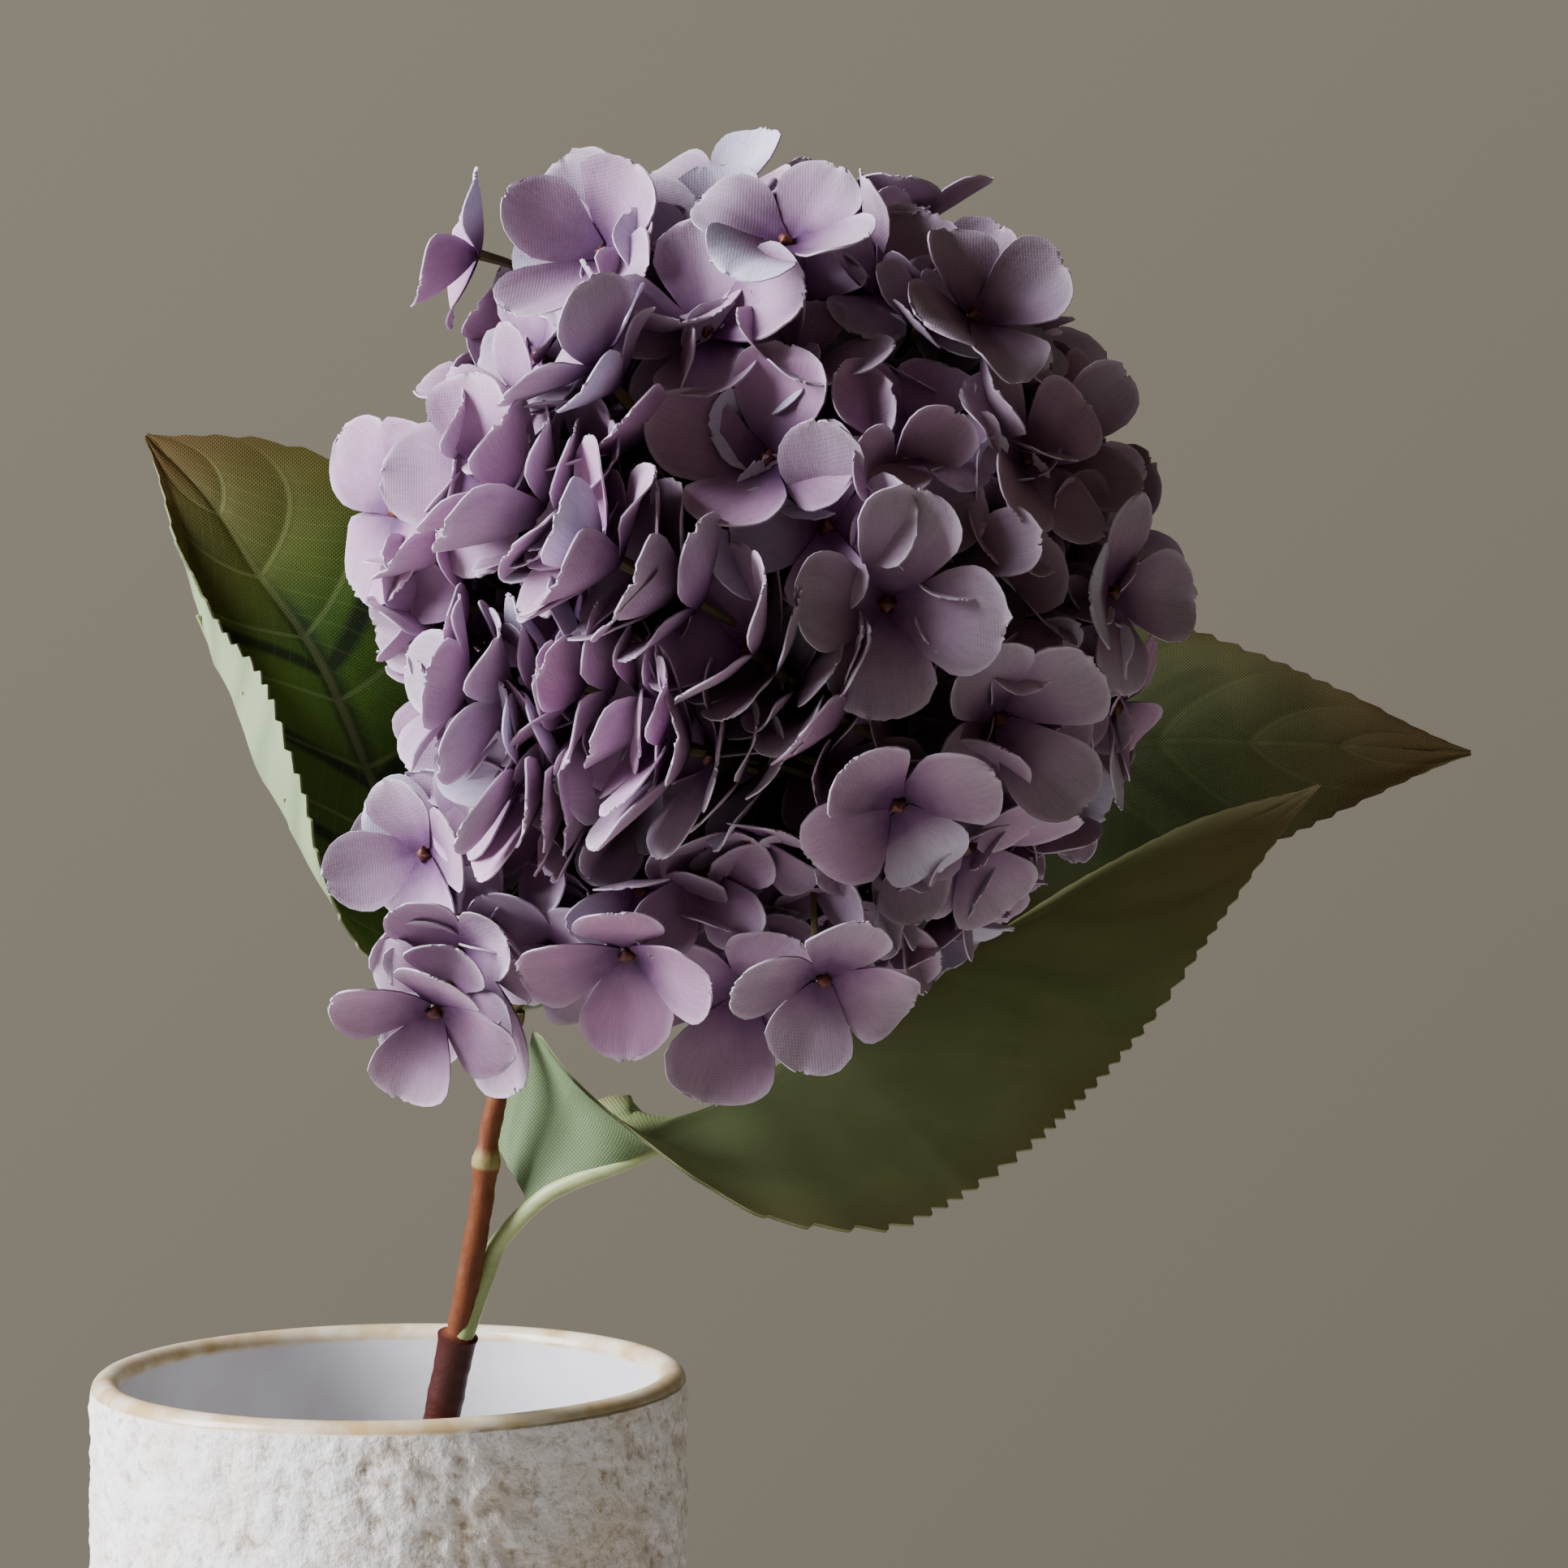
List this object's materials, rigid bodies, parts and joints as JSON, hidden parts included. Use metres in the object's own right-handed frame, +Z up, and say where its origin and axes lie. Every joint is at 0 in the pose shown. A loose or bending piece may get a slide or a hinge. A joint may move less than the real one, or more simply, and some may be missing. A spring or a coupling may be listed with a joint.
{
  "type": "artificial hydrangea stem in a vase",
  "caption": "Fabric hydrangea on a moulded stem with serrated leaves, leaning in a straight round stoneware vase.",
  "frame": {"origin": "centre of the vase's flat foot, on the surface that it stands on", "axes": "+Z up along the vase's axis; -Y is the side that the flower head is shown from; +X is to the right seen from there"},
  "size_m": [0.2609, 0.1942, 0.398],
  "materials": {
    "glazed_stoneware": "cream stoneware glaze, pitted and rough outside, smooth and glossy inside, toasted brown at the lip",
    "moulded_stem": "moulded stem, dark red sleeve below and orange brown cane above",
    "rib_plastic": "moulded leaf stalk and ribs, pale yellow green, satin",
    "leaf_fabric": "printed woven fabric, dark green with brown tints, cut with a serrated edge",
    "petal_fabric": "fine fabric, lilac with a violet throat and a pale cut edge"
  },
  "bodies": {
    "root": {"vase": "glazed_stoneware", "stem": "moulded_stem", "leaf_left": "leaf_fabric", "rib_left": "rib_plastic", "leaf_front": "leaf_fabric", "rib_front": "rib_plastic", "leaf_right": "leaf_fabric", "rib_right": "rib_plastic", "floret_01": "petal_fabric", "floret_02": "petal_fabric", "floret_03": "petal_fabric", "floret_04": "petal_fabric", "floret_05": "petal_fabric", "floret_06": "petal_fabric", "floret_07": "petal_fabric", "floret_08": "petal_fabric", "floret_09": "petal_fabric", "floret_10": "petal_fabric", "floret_11": "petal_fabric", "floret_12": "petal_fabric", "floret_13": "petal_fabric", "floret_14": "petal_fabric", "floret_15": "petal_fabric", "floret_16": "petal_fabric", "floret_17": "petal_fabric", "floret_18": "petal_fabric", "floret_19": "petal_fabric", "floret_20": "petal_fabric", "floret_21": "petal_fabric", "floret_22": "petal_fabric", "floret_23": "petal_fabric", "floret_24": "petal_fabric", "floret_25": "petal_fabric", "floret_26": "petal_fabric", "floret_27": "petal_fabric", "floret_28": "petal_fabric", "floret_29": "petal_fabric", "floret_30": "petal_fabric", "floret_31": "petal_fabric", "floret_32": "petal_fabric", "floret_33": "petal_fabric", "floret_34": "petal_fabric", "floret_35": "petal_fabric", "floret_36": "petal_fabric", "floret_37": "petal_fabric", "floret_38": "petal_fabric", "floret_39": "petal_fabric", "floret_40": "petal_fabric", "floret_41": "petal_fabric", "floret_42": "petal_fabric", "floret_43": "petal_fabric", "floret_44": "petal_fabric", "floret_45": "petal_fabric", "floret_46": "petal_fabric", "floret_47": "petal_fabric", "floret_48": "petal_fabric", "floret_49": "petal_fabric", "floret_50": "petal_fabric", "floret_51": "petal_fabric"}
  },
  "joints": []
}
